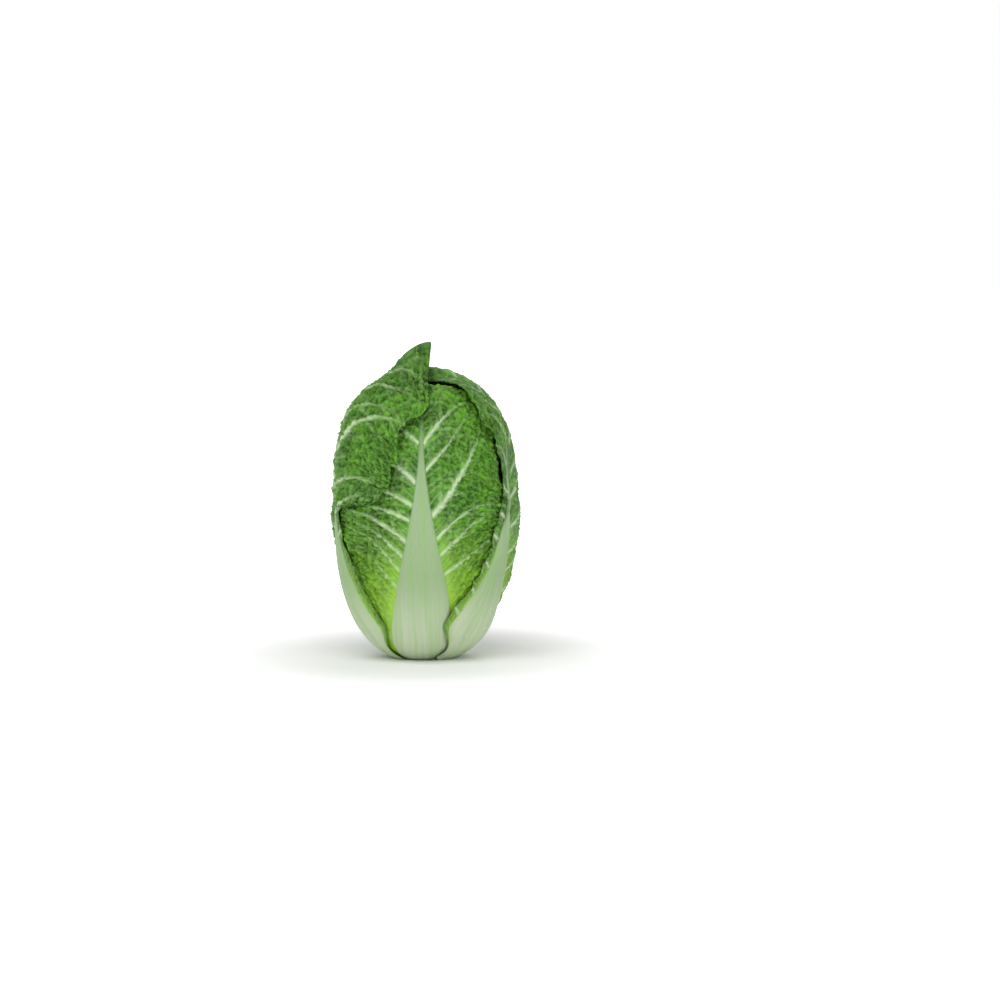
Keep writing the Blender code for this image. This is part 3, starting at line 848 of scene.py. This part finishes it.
def leaf_material(name, greens, net_strength=0.42, shade=1.0):
    """Waxy leaf: greens mixed by the masks that the mesh carries, with a fine net in colour and bump."""
    material, tree, shader = new_material(name)
    flat = add_node(tree, "ShaderNodeAttribute", attribute_name="flat").outputs["Vector"]
    place = add_node(tree, "ShaderNodeTexCoord").outputs["Object"]
    height = add_node(tree, "ShaderNodeSeparateXYZ", {0: place})
    fine = add_node(tree, "ShaderNodeGroup", {"Cells per metre": SKIN_CELLS, "Flat": flat}, node_tree=FINE_NET)
    wobble = add_node(tree, "ShaderNodeTexNoise", {"Scale": WARP_SCALE, "Vector": flat})
    shift = {0: wobble.outputs["Color"], 1: (WARP, WARP, WARP), 2: flat}
    warped = add_node(tree, "ShaderNodeVectorMath", shift, operation="MULTIPLY_ADD").outputs["Vector"]

    cloud = ranged(tree, noise(tree, flat, CLOUD_SCALE, 4.0), 0.36, 0.66)
    blade = mixed(tree, cloud, greens.deep, greens.light)
    low = ranged(tree, height.outputs["Z"], *YOUNG_HEIGHT, 1.0, 0.0)
    inward = ranged(tree, read_mask(tree, "blade"), 0.15, 0.85, 1.0, 0.35)
    # Painted shade: random dark patches in two sizes stand in for shade in the blade's crinkles; shade sets
    # how strong they are.
    mottled_shade = ranged(tree, noise(tree, flat, SHADE_MOTTLE_SCALE, 5.0), 0.36, 0.56, 0.80 * shade, 0.0)
    blade = mixed(tree, mottled_shade, blade, darker(greens.deep, 0.40))
    pocket_shade = ranged(tree, noise(tree, warped, POCKET_SHADE_SCALE, 2.0), 0.40, 0.52, 0.55 * shade, 0.0)
    blade = mixed(tree, pocket_shade, blade, darker(greens.deep, 0.55))
    blade = mixed(tree, math_node(tree, "MULTIPLY", low, inward), blade, greens.young)
    # Painted shade: the blade is darkened towards deep green by the shade mask, in creases and hollows.
    painted_shade = math_node(tree, "MULTIPLY", read_mask(tree, "painted_shade"), 0.85)
    blade = mixed(tree, painted_shade, blade, darker(greens.deep, 0.30))
    net = math_node(tree, "MULTIPLY", read_mask(tree, "net"), net_strength)
    blade = mixed(tree, net, blade, greens.vein)
    for scale, share in VEINLETS:
        inputs = {"Cells per metre": scale, "Flat": warped}
        veinlets = add_node(tree, "ShaderNodeGroup", inputs, node_tree=FINE_NET)
        amount = math_node(tree, "MULTIPLY", veinlets.outputs["Net"], share * net_strength)
        blade = mixed(tree, amount, blade, greens.vein)
    blade = mixed(tree, read_mask(tree, "vein"), blade, greens.rib)

    fibres = ranged(tree, noise(tree, flat, FIBRE_SCALE, 3.0, FIBRE_STRETCH), 0.35, 0.70)
    foot = ranged(tree, height.outputs["Z"], *PALE_FOOT_HEIGHT, 1.0, 0.0)
    rib = mixed(tree, foot, RIB_GREEN, RIB_FOOT)
    rib = mixed(tree, math_node(tree, "MULTIPLY", fibres, 0.28), rib, greens.vein)
    colour = mixed(tree, read_mask(tree, "rib"), blade, rib)
    join(tree, colour, shader.inputs["Base Color"])

    rough = ranged(tree, fine.outputs["Grain"], 0.3, 0.7, *ROUGHNESS)
    join(tree, rough, shader.inputs["Roughness"])
    for name, value in SKIN.items():
        shader.inputs[name].default_value = value
    low_net = math_node(tree, "MULTIPLY", fine.outputs["Net"], 0.6)
    relief = math_node(tree, "ADD", low_net, fine.outputs["Grain"])
    bump = add_node(tree, "ShaderNodeBump", {"Strength": 0.35, "Distance": 0.0004, "Height": relief})
    join(tree, bump.outputs["Normal"], shader.inputs["Normal"])
    return material


WRAPPER_GREENS = Greens(
    (0.020, 0.115, 0.003), (0.090, 0.310, 0.007), (0.320, 0.600, 0.016), WHITE_RIB, PALE_VEIN
)
OUTER_GREENS = Greens(
    (0.012, 0.080, 0.004), (0.072, 0.240, 0.011), (0.240, 0.480, 0.018), WHITE_RIB, PALE_VEIN
)
INNER_GREENS = Greens(
    (0.16, 0.30, 0.03), (0.34, 0.46, 0.07), (0.50, 0.60, 0.10), WHITE_RIB, (0.55, 0.66, 0.26)
)
HEART_YELLOWS = Greens(
    (0.42, 0.48, 0.07), (0.66, 0.68, 0.16), (0.78, 0.77, 0.34), (0.80, 0.82, 0.56), (0.84, 0.84, 0.44)
)
GREEN = leaf_material("wrapper_green", WRAPPER_GREENS)
DARK_GREEN = leaf_material("outer_green", OUTER_GREENS)
PALE_GREEN = leaf_material("inner_green", INNER_GREENS, shade=0.5)
YELLOW = leaf_material("heart_leaf", HEART_YELLOWS, shade=0.2)


# %% The cut finish
STRAND_SCALE = 520
CUT_PALE = (0.66, 0.64, 0.42)
CUT_BROWN = (0.50, 0.44, 0.22)
STRAND_COLOUR = (0.78, 0.77, 0.60)


def cut_material():
    """Freshly cut stalk: moist and pale, with dots where strands are cut, and browned in patches."""
    material, tree, shader = new_material("cut_stalk")
    place = add_node(tree, "ShaderNodeTexCoord").outputs["Object"]
    strands = add_node(tree, "ShaderNodeTexVoronoi", {"Scale": STRAND_SCALE, "Vector": place}, feature="F1")
    dots = ranged(tree, strands.outputs["Distance"], 0.1, 0.45, 1.0, 0.0)
    patches = ranged(tree, noise(tree, place, 60, 5.0), 0.45, 0.75)
    colour = mixed(tree, patches, CUT_PALE, CUT_BROWN)
    colour = mixed(tree, math_node(tree, "MULTIPLY", dots, 0.4), colour, STRAND_COLOUR)
    join(tree, colour, shader.inputs["Base Color"])
    rough = ranged(tree, noise(tree, place, 300, 3.0), 0.3, 0.7, 0.30, 0.55)
    join(tree, rough, shader.inputs["Roughness"])
    bump = add_node(tree, "ShaderNodeBump", {"Strength": 0.4, "Distance": 0.0003, "Height": dots})
    join(tree, bump.outputs["Normal"], shader.inputs["Normal"])
    return material


CUT = cut_material()

# %% [markdown]
# ## Stem
# All leaves grow from a short solid stem. It is a cylinder, domed on top by extruding and scaling, and its cut
# face is inset into the rings that a knife lays open.

# %% Stem
STEM_RADIUS = 0.0240
STEM_HEIGHT = 0.044
STEM_DOME = 0.8
STEM_SIDES = 96
STEM_DOME_STEPS = 9
STEM_RING_WIDTHS = (0.0016, 0.0030, 0.0045, 0.0050)
SOCKET_DEPTH = 20
CLEARANCE = 0.0004
KNIFE_SIZE = 0.30


def faces_facing(piece, z_sign):
    """Selects the flat end faces that look up or down."""
    bpy.ops.object.mode_set(mode="OBJECT")
    for face in piece.data.polygons:
        face.select = face.normal.z * z_sign > 0.99
    bpy.ops.object.mode_set(mode="EDIT")
    bpy.ops.mesh.select_mode(type="FACE")


def make_stem(name, grow):
    """A cylinder, domed by extruding its top face in steps that follow a quarter round."""
    radius, height = STEM_RADIUS + grow, STEM_HEIGHT + grow
    low, straight = -SOCKET_DEPTH * grow, height - radius * STEM_DOME
    deselect()
    bpy.ops.mesh.primitive_cylinder_add(
        vertices=STEM_SIDES, radius=radius, depth=straight - low, location=(0, 0, (straight + low) / 2)
    )
    piece = bpy.context.object
    piece.name = piece.data.name = name
    bpy.ops.object.transform_apply(location=True, rotation=False, scale=False)
    faces_facing(piece, 1)
    angles = np.linspace(0, math.pi / 2, STEM_DOME_STEPS)
    for before, after in zip(angles[:-1], angles[1:-1]):
        rise = radius * STEM_DOME * (math.sin(after) - math.sin(before))
        bpy.ops.mesh.extrude_region_move(TRANSFORM_OT_translate={"value": (0, 0, rise)})
        shrink = math.cos(after) / math.cos(before)
        bpy.ops.transform.resize(value=(shrink, shrink, 1))
    bpy.ops.object.mode_set(mode="OBJECT")
    return piece


knife_depth = KNIFE_SIZE / 2
deselect()
bpy.ops.mesh.primitive_cube_add(size=KNIFE_SIZE, location=(0, 0, -knife_depth))
knife = bpy.context.object
bpy.ops.object.transform_apply(location=True, rotation=False, scale=False)
socket = make_stem("socket", CLEARANCE)
stem = make_stem("shown_stem", 0)
faces_facing(stem, -1)
for thickness in STEM_RING_WIDTHS:
    bpy.ops.mesh.inset(thickness=thickness)
bpy.ops.object.mode_set(mode="OBJECT")
deselect()
stem.select_set(True)
bpy.context.view_layer.objects.active = stem
bpy.ops.object.shade_smooth_by_angle(angle=math.radians(40))
dressed(stem, "stem", (CUT,))
print("stem", len(stem.data.polygons), "faces")

# %% [markdown]
# ## Heart
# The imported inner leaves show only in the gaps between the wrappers, as one yellow body whose leaf margins
# step round it by the golden angle. A sphere is wrapped onto the barrel and lowered by a step outside each
# leaf's sector, with creased margins, so that it has leaves in relief and no bare lump shows.

# %% Heart
GOLDEN_ANGLE = 137.5
HEART_DROP = 0.0014
HEART_LEAVES = 5
HEART_STEP = 0.0011
HEART_FLOOR_Z = 0.012
HEART_SECTOR = 57
HEART_RADIUS = 0.07
HEART_WALL = 0.0006
HEART_CELL = 0.010


def make_heart():
    """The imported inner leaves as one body, stepped down by a little where each leaf ends."""
    deselect()
    bpy.ops.mesh.primitive_uv_sphere_add(segments=180, ring_count=96, radius=1)
    piece = bpy.context.object
    piece.name = piece.data.name = "shown_heart"
    direction = vertex_places(piece).astype(float)
    direction /= np.linalg.norm(direction, axis=1, keepdims=True)
    point, normal = on_barrel(direction)
    azimuth = np.degrees(np.arctan2(direction[:, 0], -direction[:, 1]))
    sink = np.full(len(direction), HEART_DROP + HEART_LEAVES * HEART_STEP)
    for number in range(HEART_LEAVES):
        edge = HEART_SECTOR + 4 * hills(point[:, 2], np.zeros(len(point)), 0.012, 50 + number)
        away = np.abs((azimuth - number * GOLDEN_ANGLE + 180) % 360 - 180)
        sink -= HEART_STEP * (1 - smoothstep(edge - 4, edge + 2, away))
    walls = cell_walls(np.radians(azimuth) * HEART_RADIUS, point[:, 2], HEART_CELL, 60)
    place = point - normal * (sink - HEART_WALL * walls)[:, None]
    place[:, 2] = np.maximum(place[:, 2], HEART_FLOOR_Z)
    move_vertices(piece, place)
    store(piece, "net", walls)
    for name in ("rib", "vein", "painted_shade"):
        store(piece, name, np.zeros(len(place)))
    store(piece, "blade", np.full(len(place), 0.5))
    store(piece, "flat", place)
    cut(piece, socket)
    piece.data.shade_smooth()
    dressed(piece, "heart", (YELLOW,))
    print("heart", len(piece.data.polygons), "faces")


make_heart()

# %% [markdown]
# ## The leaves, from the inside out
# Three pale leaves close round the heart, and five green wrappers close round them. The front leaf shows
# its whole rib; its side veins are given one by one, as they are what the eye goes to. The left leaf is the
# tall one that sweeps over the front at the top, and the right leaf folds its edge over from the other side.

# %% Leaf list
FRONT_VEINS = (
    RibVein(1, 0.085, 50, 22, 0.066, 0.0026),
    RibVein(1, 0.104, 50, 14, 0.082, 0.0030),
    RibVein(1, 0.119, 36, 38, 0.092, 0.0028),
    RibVein(1, 0.141, 37, -26, 0.108, 0.0046),
    RibVein(1, 0.183, 37, -8, 0.078, 0.0026),
    RibVein(1, 0.207, 34, -4, 0.062, 0.0034),
    RibVein(-1, 0.072, 40, 10, 0.060, 0.0022),
    RibVein(-1, 0.088, 42, 10, 0.066, 0.0024),
    RibVein(-1, 0.102, 41, 14, 0.070, 0.0026),
    RibVein(-1, 0.117, 42, 36, 0.076, 0.0036),
    RibVein(-1, 0.137, 58, 12, 0.060, 0.0032),
    RibVein(-1, 0.151, 50, 10, 0.060, 0.0036),
    RibVein(-1, 0.172, 36, 6, 0.060, 0.0040),
    RibVein(-1, 0.207, 44, 4, 0.040, 0.0028),
)
LEFT_VEINS = (
    RibVein(1, 0.120, 50, 14, 0.085, 0.0028),
    RibVein(1, 0.140, 50, 18, 0.090, 0.0026),
    RibVein(1, 0.160, 42, 24, 0.100, 0.0030),
    RibVein(1, 0.184, 32, 26, 0.120, 0.0038),
    RibVein(1, 0.214, 40, 10, 0.090, 0.0026),
    RibVein(1, 0.234, 44, 6, 0.080, 0.0026),
    RibVein(1, 0.250, 40, 4, 0.070, 0.0022),
)


def leaf_list():
    full = Side(start=-0.020, width=0.080, widest=0.53, fullness=2.8)
    plain = dict(
        lean=(0, 0, 1, 0), rib_end=0.97, left=full, right=full, ribs=(), lift=0, flare=(0, 0), curl=NO_CURL
    )
    inner = dict(
        plain, rib_half=0.022, rib_thickness=0.0045, frill=9, wave=0.0006, lift_from=0.29, crumple=0.0004,
        quilt=0.6, cells=(72, 100), material=PALE_GREEN,
    )
    wrapper = dict(
        plain, rib_half=0.031, rib_thickness=0.0075, frill=6.5, wave=0.003, lift_from=0.27, crumple=0.0022,
        quilt=1.0, cells=(120, 190), material=GREEN,
    )
    broad = dict(wrapper, cells=(160, 240))
    right = dict(
        broad, lean=(30, 0.4, 0.85, 26), rib_half=0.043, rib_end=0.62, wave=0.004, lift_from=0.28, lift=0.010,
        left=Side(start=0.180, width=0, widest=0.55, fullness=3.0, margin=RIGHT_FOLD), flare=(0, 0.010),
        right=Side(start=0.000, width=0.066, widest=0.55, fullness=2.8), crumple=0.0014, quilt=0.6,
        material=DARK_GREEN,
    )
    left = dict(
        broad, lean=(-12, 0.1, 0.8, -26), rib_half=0.034, wave=0.004, lift_from=0.280, lift=0.0235,
        left=Side(start=0.010, width=0.078, widest=0.50, fullness=2.8), flare=(0, 0.002), crumple=0.0036,
        right=Side(start=0.150, width=0, widest=0.55, fullness=3.0, margin=LEFT_LOBE), ribs=LEFT_VEINS,
        material=DARK_GREEN,
    )
    front = dict(
        broad, left=full._replace(start=-0.045), right=full._replace(start=-0.045, width=0.094),
        ribs=FRONT_VEINS, curl=Curl(height=0.005, start=0.66, stop=0.73, low=0.120, high=0.165),
    )
    return [
        Leaf(name="inner_leaf_left", seed=1, azimuth=-118, length=0.308, **inner),
        Leaf(name="inner_leaf_right", seed=2, azimuth=105, length=0.302, **inner),
        Leaf(name="inner_leaf_front", seed=3, azimuth=-32, length=0.302, **inner),
        Leaf(name="back_leaf", seed=4, azimuth=-165, length=0.310, **wrapper),
        Leaf(name="back_right_leaf", seed=5, azimuth=137.5, length=0.304, **wrapper),
        Leaf(name="front_leaf", seed=6, azimuth=0, length=0.298, **front),
        Leaf(name="right_leaf", seed=7, azimuth=60, length=0.322, **right),
        Leaf(name="left_leaf", seed=8, azimuth=-70, length=0.322, **left),
    ]


# %% Leaves
layers = []
for leaf in leaf_list():
    piece, layer = make_leaf(leaf, layers, (knife, socket))
    layers.append(layer)
    dressed(piece, leaf.name, (leaf.material, CUT))
for helper in (knife, socket):
    bpy.data.objects.remove(helper)

# %% [markdown]
# ## Floor, light and camera
# The head stands on a plain pale floor, which glows more the further it is from the head, so that only the
# soft shadow at the foot shows. A large panel in front lights it from above, with weaker ones on the right
# and behind. The camera stands back with a long lens, only a little above the table.

# %% Floor
FLOOR_SIZE = 60
FLOOR_TONE = 0.95
GLOW_RUN = (0.07, 0.45)

deselect()
bpy.ops.mesh.primitive_plane_add(size=FLOOR_SIZE, location=(0, 0, 0))
floor = bpy.context.object
floor.name = "floor"
floor_paint, floor_tree, floor_shader = new_material("pale_floor")
floor_shader.inputs["Base Color"].default_value = (FLOOR_TONE, FLOOR_TONE, FLOOR_TONE, 1)
floor_shader.inputs["Roughness"].default_value = 0.9
spot = add_node(floor_tree, "ShaderNodeTexCoord").outputs["Object"]
away = add_node(floor_tree, "ShaderNodeVectorMath", {0: spot}, operation="LENGTH").outputs["Value"]
glow = ranged(floor_tree, away, *GLOW_RUN)
floor_shader.inputs["Emission Color"].default_value = (1, 1, 1, 1)
join(floor_tree, glow, floor_shader.inputs["Emission Strength"])
floor.data.materials.append(floor_paint)

# %% Light
HEAD_MIDDLE = Vector((0, 0, 0.15))
ROOM_LIGHT = 0.46


def panel(name, azimuth, elevation, distance, size, power):
    """A square soft light that faces the head."""
    turn, rise = math.radians(azimuth), math.radians(elevation)
    away = Vector((math.sin(turn) * math.cos(rise), -math.cos(turn) * math.cos(rise), math.sin(rise)))
    deselect()
    bpy.ops.object.light_add(type="AREA", location=HEAD_MIDDLE + away * distance)
    light = bpy.context.object
    light.name = name
    light.data.shape = "SQUARE"
    light.data.size = size
    light.data.energy = power
    light.rotation_mode = "QUATERNION"
    light.rotation_quaternion = (-away).to_track_quat("-Z", "Y")


panel("key_panel", -14, 46, 1.6, 1.4, 17)
panel("fill_panel", 55, 20, 1.8, 1.2, 3)
panel("back_panel", 165, 45, 1.7, 1.0, 4)
world = bpy.data.worlds.new("white_room")
world.use_nodes = True
sky = world.node_tree.nodes["Background"]
sky.inputs["Color"].default_value = (1, 1, 1, 1)
seen = add_node(world.node_tree, "ShaderNodeLightPath").outputs["Is Camera Ray"]
join(world.node_tree, ranged(world.node_tree, seen, 0, 1, ROOM_LIGHT, 1.0), sky.inputs["Strength"])
scene.world = world

# %% Camera
PHOTO_PIXEL = 0.00095
HEAD_PIXEL_X = 423.5
TABLE_PIXEL_Y = 658
IMAGE_MIDDLE = 500
LENS = 100
SENSOR = 36
CAMERA_RISE = math.radians(5)

distance = 2 * IMAGE_MIDDLE * PHOTO_PIXEL * LENS / SENSOR
aim_x = (IMAGE_MIDDLE - HEAD_PIXEL_X) * PHOTO_PIXEL
aim_z = (TABLE_PIXEL_Y - IMAGE_MIDDLE) * PHOTO_PIXEL
aim = Vector((aim_x, 0, aim_z))
away = Vector((0, -math.cos(CAMERA_RISE), math.sin(CAMERA_RISE)))
deselect()
bpy.ops.object.camera_add(location=aim + away * distance)
camera = bpy.context.object
camera.rotation_mode = "QUATERNION"
camera.rotation_quaternion = (-away).to_track_quat("-Z", "Y")
camera.data.lens = LENS
camera.data.sensor_width = SENSOR
scene.camera = camera
scene.view_settings.view_transform = "Standard"
print("camera", round(distance, 2), "m away")
